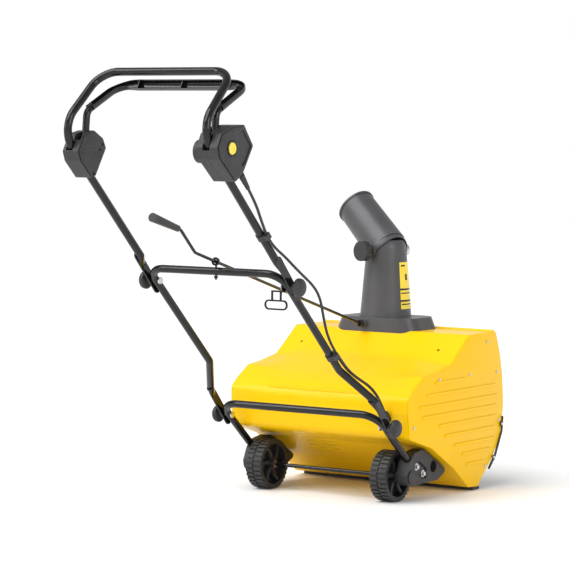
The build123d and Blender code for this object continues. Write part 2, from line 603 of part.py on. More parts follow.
with BuildPart() as switch_unit:
    block((LEG_X - 12, -507, 870), (LEG_X + 12, -489, 896))
    block((LEG_X - 3, -511, 880), (LEG_X + 3, -507, 886))
save(switch_unit, "switch_unit")

with BuildPart() as power_inlet:
    x_disc(SWITCH_IN - 13, SWITCH_IN - 2, -578, 872, 21.8)
    x_disc(SWITCH_IN - 13, SWITCH_IN - 5, -578, 872, 17, Mode.SUBTRACT)
    for pin_z in (-7, 0, 7):
        x_disc(SWITCH_IN - 12, SWITCH_IN - 4, -578, 872 + pin_z, 2)
save(power_inlet, "power_inlet")

with BuildPart() as bail_spring:
    for coil in range(3):
        coil_x = -(BAIL_X + 10.8 + coil * 1.1)
        x_disc(coil_x, coil_x + 0.8, BAIL_PIVOT_Y, BAIL_PIVOT_Z, 6.8)
    block((-(BAIL_X + 13), BAIL_PIVOT_Y - 7.5, BAIL_PIVOT_Z - 1),
          (-(BAIL_X + 10), BAIL_PIVOT_Y - 6, BAIL_PIVOT_Z + 1))
    bolt_hole(-(BAIL_X + 14), -(BAIL_X + 9), BAIL_PIVOT_Y, BAIL_PIVOT_Z, 5.4)
save(bail_spring, "bail_spring")

# ---------------------------------------------------------------- chute
SKIRT_Z = 384.0
BASE_X, BASE_Y = -22.0, 516.0         # middle of the chute base
BASE_HALF_X, BASE_HALF_Y = 132.0, 76.0
BASE_SLOPE_X, BASE_SLOPE_Y = 20.0, 4.0
SEAT_R = 69.0                         # bore of the base
NECK_R = 60.0                         # tower below its shoulder
SHOULDER_Z = 429.0
RING_IN, RING_OUT = 60.6, 67.6        # toothed band of the swivel ring
RING_TOP = 411.0
TOOTH_H = 3.0
TOOTH_W = 1.1
PINION_Z = CRANK_FOOT[2]
PINION_TIP = 6.6
PINION_ROOT = 3.6
pinion_way = (Vector(*CRANK_FOOT[:2]) - Vector(CHUTE_X, CHUTE_Y)).normalized()


def pinion_point(distance):
    """A point on the pinion's axis at a distance from the chute's swivel axis."""
    return (CHUTE_X + pinion_way.X * distance, CHUTE_Y + pinion_way.Y * distance, PINION_Z)


fore = (-sin(radians(CHUTE_YAW)), cos(radians(CHUTE_YAW)))      # level direction of the throw
across = (-fore[1], fore[0])                                     # level direction of the pivot


def chute_point(forward, sideways, z):
    """A point given along the throw, across it and by height."""
    return (CHUTE_X + forward * fore[0] + sideways * across[0],
            CHUTE_Y + forward * fore[1] + sideways * across[1], z)


def tower_cone(grow, bottom, top, mode=Mode.ADD):
    """The tapered tower as a filled cone, grown outwards, between two heights."""
    slope = (TOWER_FOOT_R - TOWER_TOP_R) / (PIVOT_Z - SHOULDER_Z)
    with BuildSketch(Plane.XY.offset(bottom)) as low_ring:
        with Locations([(CHUTE_X, CHUTE_Y)]):
            Circle(TOWER_TOP_R + slope * (PIVOT_Z - bottom) + grow)
    with BuildSketch(Plane.XY.offset(top)) as high_ring:
        with Locations([(CHUTE_X, CHUTE_Y)]):
            Circle(TOWER_TOP_R + slope * (PIVOT_Z - top) + grow)
    loft([low_ring.sketch, high_ring.sketch], mode=mode)


def pivot_ball(radius, mode=Mode.ADD):
    """A ball about the middle of the deflector pivot."""
    with Locations([(CHUTE_X, CHUTE_Y, PIVOT_Z)]):
        Sphere(radius, mode=mode)


with BuildPart() as chute_base:
    with BuildSketch(Plane.XY.offset(SKIRT_Z)) as base_foot:
        with Locations([(BASE_X, BASE_Y)]):
            RectangleRounded(2 * BASE_HALF_X, 2 * BASE_HALF_Y, 44)
    with BuildSketch(Plane.XY.offset(BASE_TOP_Z)) as base_top:
        with Locations([(BASE_X, BASE_Y)]):
            RectangleRounded(2 * (BASE_HALF_X - BASE_SLOPE_X), 2 * (BASE_HALF_Y - BASE_SLOPE_Y), 44)
    loft()
    rod(pinion_point(64), pinion_point(86), 10)
    rod((CHUTE_X, CHUTE_Y, 300), (CHUTE_X, CHUTE_Y, 500), SEAT_R, Mode.SUBTRACT)
    yz_plate(COWL_OUTLINE, -300, 300, COWL_ROUND, Mode.SUBTRACT)
    rod(pinion_point(60), pinion_point(90), 5.0 + RUN, Mode.SUBTRACT)
save(chute_base, "chute_base")

with BuildPart() as swivel_ring:
    rod((CHUTE_X, CHUTE_Y, TOP_Z + 1), (CHUTE_X, CHUTE_Y, RING_TOP), RING_OUT)
    with BuildSketch(Plane.XY.offset(RING_TOP)) as ring_teeth:
        with Locations([(CHUTE_X, CHUTE_Y)]):
            with PolarLocations((RING_IN + RING_OUT) / 2, RING_TEETH,
                                start_angle=degrees(atan2(pinion_way.Y, pinion_way.X)) + 180 / RING_TEETH):
                Rectangle(RING_OUT - RING_IN, TOOTH_W)
    extrude(amount=TOOTH_H)
    rod((CHUTE_X, CHUTE_Y, TOP_Z), (CHUTE_X, CHUTE_Y, RING_TOP + 5), NECK_R + 0.02, Mode.SUBTRACT)
save(swivel_ring, "swivel_ring")

with BuildPart() as pinion:
    rod(pinion_point(61), pinion_point(69), PINION_ROOT)
    tooth_plane = Plane(origin=pinion_point(61.5), x_dir=(0, 0, 1), z_dir=pinion_way)
    with BuildSketch(tooth_plane) as pinion_teeth:
        with PolarLocations((PINION_TIP + 3) / 2, PINION_TEETH, start_angle=0):
            Rectangle(PINION_TIP - 3, TOOTH_W)
    extrude(amount=5.5)
    rod(pinion_point(68), pinion_point(88), 5.0)
    with BuildSketch(Plane(origin=pinion_point(86.5), x_dir=(0, 0, 1), z_dir=pinion_way)):
        Circle(9.5)
        Rectangle(22, 8.4, mode=Mode.SUBTRACT)
    extrude(amount=9)
    rod(pinion_point(86.5), pinion_point(88.5), 9.5)
save(pinion, "pinion")

with BuildPart() as chute_tower:
    tower_cone(0, SHOULDER_Z, PIVOT_Z)
    rod((CHUTE_X, CHUTE_Y, TOP_Z + 1), (CHUTE_X, CHUTE_Y, SHOULDER_Z), NECK_R)
    rod((CHUTE_X, CHUTE_Y, SHOULDER_Z - TOWER_WALL), (CHUTE_X, CHUTE_Y, SHOULDER_Z), TOWER_FOOT_R)
    pivot_ball(TOWER_TOP_R - 0.2)
    tower_cone(-TOWER_WALL, SHOULDER_Z, PIVOT_Z, Mode.SUBTRACT)
    rod((CHUTE_X, CHUTE_Y, TOP_Z), (CHUTE_X, CHUTE_Y, SHOULDER_Z), NECK_R - TOWER_WALL, Mode.SUBTRACT)
    pivot_ball(TOWER_TOP_R - TOWER_WALL, Mode.SUBTRACT)
    rod((CHUTE_X, CHUTE_Y, PIVOT_Z + 28), (CHUTE_X, CHUTE_Y, PIVOT_Z + 70), 60, Mode.SUBTRACT)
    with BuildSketch(Plane.XY.offset(PIVOT_Z - 4)) as front_window:
        with BuildLine():
            Polyline(*[chute_point(f, w, 0)[:2] for f, w in ((12, 46), (70, 46), (70, -46), (12, -46))],
                     close=True)
        make_face()
    extrude(amount=70, mode=Mode.SUBTRACT)
    rod(chute_point(0, TOWER_TOP_R - 8, PIVOT_Z), chute_point(0, TOWER_TOP_R + 2.0, PIVOT_Z), 9)
    rod(chute_point(0, -TOWER_TOP_R + 8, PIVOT_Z), chute_point(0, -TOWER_TOP_R - 2.0, PIVOT_Z), 9)
    rod(chute_point(0, -90, PIVOT_Z), chute_point(0, 90, PIVOT_Z), BOLT_R, Mode.SUBTRACT)
save(chute_tower, "chute_tower")

# deflector: an elbow that wraps the tower's domed top and tapers to a round mouth
rise = radians(DEFLECTOR_TILT)
MOUTH_DISTANCE = 165.0
MOUTH_R = 50.0
ROOT_LIFT, MOUTH_LIFT = 6.0, 8.0      # how far the barrel's axis lies above the pivot, and its rise
DEFLECTOR_WALL = 3.2
BALL_R = TOWER_TOP_R + 0.6 + DEFLECTOR_WALL
EAR_T = 4.0


def barrel_point(along, above):
    """A point in the deflector's middle plane, along its barrel and square to it."""
    forward = along * cos(rise) - above * sin(rise)
    return chute_point(forward, 0, PIVOT_Z + along * sin(rise) + above * cos(rise))


barrel_way = Vector(*barrel_point(1, 0)) - Vector(*barrel_point(0, 0))


def barrel(grow, far, mode=Mode.ADD):
    """The tapered barrel of the deflector, filled, from the pivot to a distance along it."""
    share = far / MOUTH_DISTANCE
    root_r = BALL_R - 3
    with BuildSketch(Plane(origin=barrel_point(0, ROOT_LIFT), z_dir=barrel_way)) as root_ring:
        Circle(root_r + grow)
    far_plane = Plane(origin=barrel_point(far, ROOT_LIFT + MOUTH_LIFT * share), z_dir=barrel_way)
    with BuildSketch(far_plane) as far_ring:
        Circle(root_r + (MOUTH_R - root_r) * share + grow)
    loft([root_ring.sketch, far_ring.sketch], mode=mode)


def upright_cut(radius):
    """Clear a round space about the tower, below the deflector pivot."""
    rod((CHUTE_X, CHUTE_Y, PIVOT_Z - 90), (CHUTE_X, CHUTE_Y, PIVOT_Z), radius, Mode.SUBTRACT)


EAR_X = TOWER_TOP_R + 2.4
with BuildPart() as deflector:
    barrel(0, MOUTH_DISTANCE)
    pivot_ball(BALL_R)
    rim_plane = Plane(origin=barrel_point(MOUTH_DISTANCE - 5, ROOT_LIFT + MOUTH_LIFT), z_dir=barrel_way)
    with BuildSketch(rim_plane):
        Circle(MOUTH_R + 2.4)
    extrude(amount=5)
    barrel(-DEFLECTOR_WALL, MOUTH_DISTANCE + 6, Mode.SUBTRACT)
    pivot_ball(BALL_R - DEFLECTOR_WALL, Mode.SUBTRACT)
    rod(chute_point(-90, 0, PIVOT_Z - 24), chute_point(20, 0, PIVOT_Z - 24), 60, Mode.SUBTRACT)
    upright_cut(62)
    for side in (-1, 1):
        rod(chute_point(0, side * 52.5, PIVOT_Z), chute_point(0, side * (EAR_X + EAR_T), PIVOT_Z), 17)
    upright_cut(EAR_X)
    for side in (-1, 1):
        rod(chute_point(0, side * 46, PIVOT_Z), chute_point(0, side * EAR_X, PIVOT_Z), 9.6, Mode.SUBTRACT)
    rod(chute_point(0, -90, PIVOT_Z), chute_point(0, 90, PIVOT_Z), BOLT_R + RUN, Mode.SUBTRACT)
save(deflector, "deflector")

with BuildPart() as deflector_bolt:
    rod(chute_point(0, -EAR_X - EAR_T - 3, PIVOT_Z), chute_point(0, -TOWER_TOP_R + 10, PIVOT_Z),
        BOLT_R - 0.02)
    rod(chute_point(0, TOWER_TOP_R - 10, PIVOT_Z), chute_point(0, EAR_X + EAR_T + 22, PIVOT_Z),
        BOLT_R - 0.02)
    rod(chute_point(0, TOWER_TOP_R - 13, PIVOT_Z), chute_point(0, TOWER_TOP_R - 8.6, PIVOT_Z), 8)
    rod(chute_point(0, -TOWER_TOP_R + 13, PIVOT_Z), chute_point(0, -TOWER_TOP_R + 8.6, PIVOT_Z), 8)
    rod(chute_point(0, -EAR_X - EAR_T - 11, PIVOT_Z), chute_point(0, -EAR_X - EAR_T - 0.4, PIVOT_Z), 15)
save(deflector_bolt, "deflector_bolts")

KNOB_SEAT = EAR_X + EAR_T + 0.4
with BuildPart() as deflector_knob:
    rod(chute_point(0, KNOB_SEAT, PIVOT_Z), chute_point(0, KNOB_SEAT + 14, PIVOT_Z), 10)
    with BuildSketch(Plane(origin=chute_point(0, KNOB_SEAT + 13, PIVOT_Z), z_dir=(*across, 0))):
        Circle(26)
        with PolarLocations(28, 8):
            Circle(5.5, mode=Mode.SUBTRACT)
    extrude(amount=14)
    rod(chute_point(0, KNOB_SEAT + 27, PIVOT_Z), chute_point(0, KNOB_SEAT + 33, PIVOT_Z), 26)
    rod(chute_point(0, KNOB_SEAT, PIVOT_Z), chute_point(0, KNOB_SEAT + 24, PIVOT_Z), BOLT_R + RUN,
        Mode.SUBTRACT)
save(deflector_knob, "deflector_knob")

LABEL_AZIMUTH = 97.0                  # middle of the label, from straight behind towards the right
LABEL_SPAN = 56.0                     # degrees round the tower
with BuildPart() as safety_label:
    tower_cone(0.55, 455, 576)
    tower_cone(0.05, 454, 577, Mode.SUBTRACT)
    with BuildSketch(Plane.XY.offset(455)) as label_sector:
        with BuildLine():
            Polyline((CHUTE_X, CHUTE_Y),
                     *[(CHUTE_X + 120 * sin(radians(LABEL_AZIMUTH + turn)),
                        CHUTE_Y - 120 * cos(radians(LABEL_AZIMUTH + turn)))
                       for turn in (-LABEL_SPAN / 2, 0, LABEL_SPAN / 2)], close=True)
        make_face()
    extrude(amount=121, mode=Mode.INTERSECT)
save(safety_label, "safety_label")

# ---------------------------------------------------------------- crank
crank_way = (Vector(*CRANK_EYE) - Vector(*CRANK_FOOT)).normalized()
crank_up = (Vector(0, 0, 1) - crank_way * crank_way.Z).normalized()
CRANK_THROW = 37.0
FORK_BLADE_W, FORK_BLADE_T = 13.0, 3.2


def crank_point(beyond_eye, above=0.0):
    """A point along the crank rod, measured from its eye, and square above it."""
    spot = Vector(*CRANK_EYE) + crank_way * beyond_eye + crank_up * above
    return (spot.X, spot.Y, spot.Z)


ROD_LENGTH = (Vector(*CRANK_EYE) - Vector(*CRANK_FOOT)).length
with BuildPart() as crank_rod:
    bent_tube([crank_point(-ROD_LENGTH + 5), crank_point(96), crank_point(172, CRANK_THROW),
               crank_point(296, CRANK_THROW)], [26, 26], CRANK_R)
    with BuildSketch(Plane(origin=crank_point(-ROD_LENGTH - 2), x_dir=crank_up, z_dir=crank_way)):
        RectangleRounded(FORK_BLADE_W, FORK_BLADE_T, 1.5)
    extrude(amount=12)
save(crank_rod, "crank_rod")

with BuildPart() as crank_grip:
    with BuildSketch(Plane(origin=crank_point(184, CRANK_THROW), z_dir=crank_way)) as grip_near:
        Circle(7.5)
    with BuildSketch(Plane(origin=crank_point(297, CRANK_THROW), z_dir=crank_way)) as grip_far:
        Circle(10.5)
    loft()
    rod(crank_point(180, CRANK_THROW), crank_point(292, CRANK_THROW), CRANK_R + RUN, Mode.SUBTRACT)
    rod(crank_point(180, CRANK_THROW), crank_point(296.02, CRANK_THROW), CRANK_R, Mode.SUBTRACT)
save(crank_grip, "crank_grip")

with BuildPart() as crank_eye:
    with BuildSketch(Plane(origin=crank_point(-2.5), z_dir=crank_way)):
        Circle(10)
        Circle(CRANK_R + 1.2, mode=Mode.SUBTRACT)
    extrude(amount=5)
    rod((CRANK_EYE[0], -303, 602), (CRANK_EYE[0], -303, 568), 2.45)
    with BuildSketch(Plane.XY.offset(572)):
        with Locations([(CRANK_EYE[0], -303)]):
            RegularPolygon(5.5, 6)
            Circle(2.0, mode=Mode.SUBTRACT)
    extrude(amount=5)
save(crank_eye, "crank_eye")

# ---------------------------------------------------------------- cable, clips, cord hook
def cord_radii(points):
    """Arc radii of a cord: as large as the two runs at each corner allow."""
    radii = []
    for before, here, after in zip(points, points[1:], points[2:]):
        back, ahead = Vector(*here) - Vector(*before), Vector(*after) - Vector(*here)
        half_turn = radians(back.get_angle(ahead) / 2)
        radii.append(0.45 * min(back.length, ahead.length) / tan(half_turn))
    return radii


CABLE_UPPER = [(213, -470, 789), (213, -440, 756), (212.5, -416, 716), (211, -392, 682), (210, -360, 654),
               (209.5, -314, 630), (209, -272.5, 604)]
CABLE_MIDDLE = [(209, -271.5, 603.4), (209, -232, 580), (209, -192, 557), (208.5, -162, 527),
                (208, -148, 486), (207.5, -132, 444), (207, -104, 406), (207, -66, 371)]
CABLE_LOWER = [(207, -65.2, 370.3), (208, -34, 345), (209, 8, 323), (209, 56, 303), (208.5, 96, 276),
               (208, 124, 244), (207, 148.5, 215)]
cable_parts = {}
for cable_name, route in (("cable_upper", CABLE_UPPER), ("cable_middle", CABLE_MIDDLE),
                          ("cable_lower", CABLE_LOWER)):
    bends = cord_radii(route)
    with BuildPart() as cable:
        bent_tube(route, bends, CABLE_R)
    save(cable, cable_name)
    cable_parts[cable_name] = cable.part
    print(cable_name, "bend radii", [round(bend) for bend in bends],
          "length", round(cable.part.volume / (pi * CABLE_R ** 2)))

BOOT_LENGTH = 42.0
with BuildPart() as cable_boot:
    boot_way = (Vector(*CABLE_UPPER[1]) - Vector(*CABLE_UPPER[0])).normalized()
    boot_foot = Vector(*CABLE_UPPER[0]) - boot_way * BOOT_LENGTH
    with BuildSketch(Plane(origin=boot_foot, z_dir=boot_way)) as boot_root:
        Circle(7.5)
    with BuildSketch(Plane(origin=CABLE_UPPER[0], z_dir=boot_way)) as boot_tip:
        Circle(4.8)
    loft()
save(cable_boot, "cable_boot")

CLIP_LENGTH = 16.0
CLIPS = (("cable_clip_upper", (LEG_X, -389.0, 679.0), (-326 + 632, 617 - 918), "cable_upper"),
         ("cable_clip_lower", (MID_X, -87.0, 383.0), (-48 + 303, 346 - 588), "cable_middle"))
for clip_name, spot, slope, held in CLIPS:
    leg_way = Vector(0, *slope).normalized()
    clip_plane = Plane(origin=spot, x_dir=(1, 0, 0), z_dir=leg_way)
    with BuildPart() as clip:
        with BuildSketch(clip_plane.offset(-CLIP_LENGTH / 2)):
            Circle(TUBE_R + 2.6)
            with Locations([(9, 0)]):
                Rectangle(24, 14)
            Circle(TUBE_R + 0.05, mode=Mode.SUBTRACT)
        extrude(amount=CLIP_LENGTH)
        add(cable_parts[held], mode=Mode.SUBTRACT)
    save(clip, clip_name)

with BuildPart() as cable_grommet:
    rod((207, 139, 227), (207, 156, 207), 8.0)
    yz_plate(COWL_OUTLINE, 190, 224, COWL_ROUND, Mode.SUBTRACT)
    add(cable_parts["cable_lower"], mode=Mode.SUBTRACT)
save(cable_grommet, "cable_grommet")

HOOK_T = 4.0
PLATE_X0 = MID_X - TUBE_R - HEAD_GAP - HOOK_PLATE_T
with BuildPart() as cord_hook:
    with BuildSketch(Plane.XZ.offset(-MID_PIVOT_Y - HOOK_T / 2)):
        with Locations([(157, 514)]):
            RectangleRounded(64, 24, 11.5)
            RectangleRounded(56, 16, 7.5, mode=Mode.SUBTRACT)
        for wire_x in (146, 170):
            with Locations([(wire_x, 536)]):
                Rectangle(4, 24)
        with Locations([(162.5, 546)]):
            Rectangle(37, 4)
    extrude(amount=HOOK_T)
    x_disc(PLATE_X0, PLATE_X0 + HOOK_PLATE_T, MID_PIVOT_Y, MID_PIVOT_Z, 11)
    bolt_hole(PLATE_X0 - 1, PLATE_X0 + 4, MID_PIVOT_Y, MID_PIVOT_Z, BOLT_R + 0.03)
save(cord_hook, "cord_hook")
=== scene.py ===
import json
import math

import bmesh
import bpy
from mathutils import Matrix, Vector


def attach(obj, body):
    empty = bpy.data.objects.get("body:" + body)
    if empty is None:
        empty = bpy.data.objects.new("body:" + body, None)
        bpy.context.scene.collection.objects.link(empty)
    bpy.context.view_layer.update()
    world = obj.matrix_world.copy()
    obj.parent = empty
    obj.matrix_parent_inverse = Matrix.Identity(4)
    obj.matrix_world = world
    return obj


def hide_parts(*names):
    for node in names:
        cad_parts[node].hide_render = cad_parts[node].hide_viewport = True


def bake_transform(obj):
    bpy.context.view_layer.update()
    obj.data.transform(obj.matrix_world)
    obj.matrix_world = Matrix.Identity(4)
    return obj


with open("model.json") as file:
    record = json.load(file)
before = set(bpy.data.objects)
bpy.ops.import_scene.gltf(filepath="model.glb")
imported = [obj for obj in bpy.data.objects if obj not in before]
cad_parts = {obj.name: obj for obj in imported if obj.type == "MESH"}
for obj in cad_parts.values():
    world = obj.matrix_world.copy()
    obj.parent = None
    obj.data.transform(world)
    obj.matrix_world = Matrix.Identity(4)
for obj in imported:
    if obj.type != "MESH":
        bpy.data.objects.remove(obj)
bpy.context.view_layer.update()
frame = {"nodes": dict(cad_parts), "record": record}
nodes = frame["nodes"]

MM = 0.001
MIDDLE_Y = 8.5                     # mm between the drawing's own Y and the row frame


def own(x, y, z):
    """A point given in the drawing's own millimetres, in the row frame in metres."""
    return Vector((x * MM, (y - MIDDLE_Y) * MM, z * MM))


# ---------------------------------------------------------------- camera, light, floor
AZIMUTH = math.radians(33.805)
PITCH = math.radians(3.66)
ROLL = math.radians(0.505)
ahead = Vector((-math.sin(AZIMUTH) * math.cos(PITCH), math.cos(AZIMUTH) * math.cos(PITCH), -math.sin(PITCH)))
level = Vector((math.cos(AZIMUTH), math.sin(AZIMUTH), 0))
upward = level.cross(ahead)
right = math.cos(ROLL) * level + math.sin(ROLL) * upward
top = -math.sin(ROLL) * level + math.cos(ROLL) * upward
eye = own(3401.0, -5079.2, 931.7)
camera_data = bpy.data.cameras.new("camera")
camera_data.sensor_width = 36.0
camera_data.lens = 2500.0 / 570.0 * 36.0
camera_data.clip_end = 60.0
camera = bpy.data.objects.new("camera", camera_data)
camera.matrix_world = Matrix((
    (right.x, top.x, -ahead.x, eye.x),
    (right.y, top.y, -ahead.y, eye.y),
    (right.z, top.z, -ahead.z, eye.z),
    (0, 0, 0, 1)))
bpy.context.scene.collection.objects.link(camera)
bpy.context.scene.camera = camera
bpy.context.scene.view_settings.view_transform = "Standard"


def area_light(name, place, aim, size, power):
    """A soft rectangular lamp that points at a spot."""
    data = bpy.data.lights.new(name, "AREA")
    data.shape = "RECTANGLE"
    data.size, data.size_y = size
    data.energy = power
    lamp = bpy.data.objects.new(name, data)
    lamp.location = place
    lamp.rotation_euler = (Vector(aim) - Vector(place)).to_track_quat("-Z", "Y").to_euler()
    bpy.context.scene.collection.objects.link(lamp)


sun_data = bpy.data.lights.new("daylight", "SUN")
sun_data.energy = 2.5
sun_data.angle = math.radians(50)
sun = bpy.data.objects.new("daylight", sun_data)
sun.rotation_euler = Vector((0.30, 0.62, -1.0)).to_track_quat("-Z", "Y").to_euler()
bpy.context.scene.collection.objects.link(sun)
area_light("side", (3.6, -1.2, 2.2), (0, 0.3, 0.4), (1.6, 1.6), 38)
area_light("strip", (-2.4, -2.6, 2.2), (0, 0.1, 0.6), (0.5, 2.0), 22)

world = bpy.data.worlds.new("studio")
bpy.context.scene.world = world
world.use_nodes = True
sky = world.node_tree
direction = sky.nodes.new("ShaderNodeTexCoord").outputs["Generated"]
axes = sky.nodes.new("ShaderNodeSeparateXYZ")
sky.links.new(direction, axes.inputs["Vector"])
walls = sky.nodes.new("ShaderNodeMapRange")
walls.interpolation_type = "SMOOTHSTEP"
walls.inputs["From Min"].default_value = 0.16
walls.inputs["From Max"].default_value = 0.42
walls.inputs["To Min"].default_value = 1.0
walls.inputs["To Max"].default_value = 0.5
sky.links.new(axes.outputs["Z"], walls.inputs["Value"])
sky.nodes["Background"].inputs["Color"].default_value = (1, 1, 1, 1)
sky.links.new(walls.outputs["Result"], sky.nodes["Background"].inputs["Strength"])


# ---------------------------------------------------------------- materials
def graph(name):
    """A new node material: (material, nodes, link, shader, object coordinates)."""
    material = bpy.data.materials.new(name)
    material.use_nodes = True
    tree = material.node_tree
    shader = tree.nodes["Principled BSDF"]
    coordinates = tree.nodes.new("ShaderNodeTexCoord").outputs["Object"]
    return material, tree.nodes, tree.links.new, shader, coordinates


def noise(tree_nodes, link, coordinates, scale, detail=3.0, roughness=0.5):
    """A noise texture's grey output."""
    texture = tree_nodes.new("ShaderNodeTexNoise")
    texture.inputs["Scale"].default_value = scale
    texture.inputs["Detail"].default_value = detail
    texture.inputs["Roughness"].default_value = roughness
    link(coordinates, texture.inputs["Vector"])
    return texture.outputs["Fac"]


def ramp(tree_nodes, link, value, low, high, dark, light):
    """Two colours mixed by a value between two stops."""
    colours = tree_nodes.new("ShaderNodeValToRGB")
    colours.color_ramp.elements[0].position = low
    colours.color_ramp.elements[1].position = high
    colours.color_ramp.elements[0].color = (*dark, 1)
    colours.color_ramp.elements[1].color = (*light, 1)
    link(value, colours.inputs["Fac"])
    return colours.outputs["Color"]


def spread(tree_nodes, link, value, low, high):
    """A value from 0..1 brought to a range."""
    remap = tree_nodes.new("ShaderNodeMapRange")
    remap.inputs["To Min"].default_value = low
    remap.inputs["To Max"].default_value = high
    link(value, remap.inputs["Value"])
    return remap.outputs["Result"]


def surface(name, dark, light, rough, grain, grain_depth, patch=14.0, metallic=0.0,
            specular=0.5):
    """A moulded or painted surface: patchy tone, varied gloss and a fine grain."""
    material, tree_nodes, link, shader, coordinates = graph(name)
    tone = noise(tree_nodes, link, coordinates, patch, 4.0)
    link(ramp(tree_nodes, link, tone, 0.35, 0.7, dark, light), shader.inputs["Base Color"])
    gloss = noise(tree_nodes, link, coordinates, patch * 5, 5.0, 0.6)
    link(spread(tree_nodes, link, gloss, *rough), shader.inputs["Roughness"])
    fine = noise(tree_nodes, link, coordinates, grain, 3.0, 0.6)
    bump = tree_nodes.new("ShaderNodeBump")
    bump.inputs["Strength"].default_value = 0.35
    bump.inputs["Distance"].default_value = grain_depth
    link(fine, bump.inputs["Height"])
    link(bump.outputs["Normal"], shader.inputs["Normal"])
    shader.inputs["Metallic"].default_value = metallic
    shader.inputs["Specular IOR Level"].default_value = specular
    return material


looks = {
    "housing_yellow": surface("yellow_shell", (0.90, 0.53, 0.002), (0.92, 0.545, 0.003), (0.26, 0.34), 1500,
                              0.00004, 5.0, specular=0.16),
    "frame_black": surface("black_enamel", (0.005, 0.005, 0.006), (0.009, 0.009, 0.010), (0.10, 0.15), 700, 0.000004,
                           30.0, specular=0.38),
    "black_plastic": surface("black_moulding", (0.016, 0.016, 0.017), (0.026, 0.026, 0.028), (0.42, 0.58), 1400,
                             0.00012, 22.0),
    "chute_grey": surface("grey_moulding", (0.048, 0.048, 0.052), (0.064, 0.064, 0.069), (0.32, 0.42), 1400,
                          0.00012, 10.0),
    "zinc_steel": surface("zinc_plate", (0.50, 0.50, 0.52), (0.68, 0.68, 0.70), (0.22, 0.38), 600, 0.00005,
                          60.0, metallic=1.0),
    "grey_plate": surface("dark_sheet", (0.045, 0.045, 0.05), (0.07, 0.07, 0.075), (0.4, 0.5), 500, 0.0001, 12.0),
    "rotor_rubber": surface("moulded_rubber", (0.012, 0.012, 0.012), (0.024, 0.024, 0.024), (0.6, 0.75), 800,
                            0.0002, 30.0),
    "cord_rubber": surface("cord_jacket", (0.010, 0.010, 0.010), (0.018, 0.018, 0.018), (0.35, 0.5), 900,
                           0.0001, 40.0),
    "button_yellow": surface("button_moulding", (0.86, 0.66, 0.06), (0.90, 0.70, 0.08), (0.2, 0.3), 900, 0.00006,
                             60.0),
    "label_yellow": surface("label_film", (0.88, 0.66, 0.03), (0.90, 0.69, 0.04), (0.25, 0.35), 700, 0.00003, 40.0),
    "motor_grey": surface("motor_can", (0.12, 0.12, 0.13), (0.18, 0.18, 0.19), (0.35, 0.5), 500, 0.0001, 25.0),
}
slot_of = {s["node"]: s["material_slot"] for s in frame["record"]["subparts"]}
for node, thing in nodes.items():
    thing.data.materials.clear()
    thing.data.materials.append(looks[slot_of[node]])

# ---------------------------------------------------------------- shape helpers

def add_mesh(name, verts, faces, material_slot, body, stands_for=(), smooth=35.0, bevel=0.0, segments=3):
    """A new piece from vertices in the row frame: shaded, bevelled, painted and tied to its body."""
    mesh = bpy.data.meshes.new(name)
    mesh.from_pydata([tuple(v) for v in verts], [], faces)
    return add_piece(name, mesh, material_slot, body, stands_for, smooth, bevel, segments)


def add_piece(name, mesh, material_slot, body, stands_for=(), smooth=35.0, bevel=0.0, segments=3):
    """Tidy a mesh, make it an object, give it its finish and tie it to a CAD body."""
    work = bmesh.new()
    work.from_mesh(mesh)
    bmesh.ops.remove_doubles(work, verts=work.verts, dist=1e-6)
    bmesh.ops.recalc_face_normals(work, faces=work.faces)
    work.to_mesh(mesh)
    work.free()
    mesh.shade_smooth()
    mesh.set_sharp_from_angle(angle=math.radians(smooth))
    mesh.materials.clear()
    mesh.materials.append(looks[material_slot])
    piece = bpy.data.objects.new(name, mesh)
    bpy.context.scene.collection.objects.link(piece)
    if bevel:
        rounding = piece.modifiers.new("rounding", "BEVEL")
        rounding.width = bevel * MM
        rounding.segments = segments
        rounding.limit_method = "ANGLE"
        rounding.angle_limit = math.radians(30)
        rounding.harden_normals = True
    if body:
        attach(piece, body)
    if stands_for:
        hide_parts(*stands_for)
    return piece


def soften(node, width, segments=2, angle=38.0):
    """Round the edges of a shown CAD node with modifiers; its own vertices stay as they are."""
    thing = nodes[node]
    weld = thing.modifiers.new("weld", "WELD")
    weld.merge_threshold = 0.00002
    rounding = thing.modifiers.new("rounding", "BEVEL")
    rounding.width = width * MM
    rounding.segments = segments
    rounding.limit_method = "ANGLE"
    rounding.angle_limit = math.radians(angle)
    rounding.use_clamp_overlap = True
    shading = thing.modifiers.new("shading", "WEIGHTED_NORMAL")
    shading.keep_sharp = False
    shading.weight = 90


def rounded_path(corners, radii, arc_steps=8, run_steps=1):
    """Points along straight runs joined by arcs, always the same number for the same corners."""
    corners = [Vector(c) for c in corners]
    points = [corners[0]]
    for before, here, after, radius in zip(corners, corners[1:], corners[2:], radii):
        back, ahead_way = (before - here).normalized(), (after - here).normalized()
        half = back.angle(ahead_way) / 2
        reach = radius / math.tan(half)
        first, last = here + back * reach, here + ahead_way * reach
        middle = here + (back + ahead_way).normalized() * (radius / math.sin(half))
        turn = math.pi - 2 * half
        previous = points[-1]
        for step in range(1, run_steps):
            points.append(previous.lerp(first, step / run_steps))
        for step in range(arc_steps + 1):
            share = step / arc_steps
            # a circular arc as a weighted bend between the two tangent points
            angle = turn * share
            start_arm, end_arm = first - middle, last - middle
            if turn < 1e-4:
                points.append(first.lerp(last, share))
            else:
                points.append(middle + start_arm * (math.sin(turn - angle) / math.sin(turn))
                              + end_arm * (math.sin(angle) / math.sin(turn)))
    previous = points[-1]
    for step in range(1, run_steps):
        points.append(previous.lerp(corners[-1], step / run_steps))
    points.append(corners[-1])
    return points


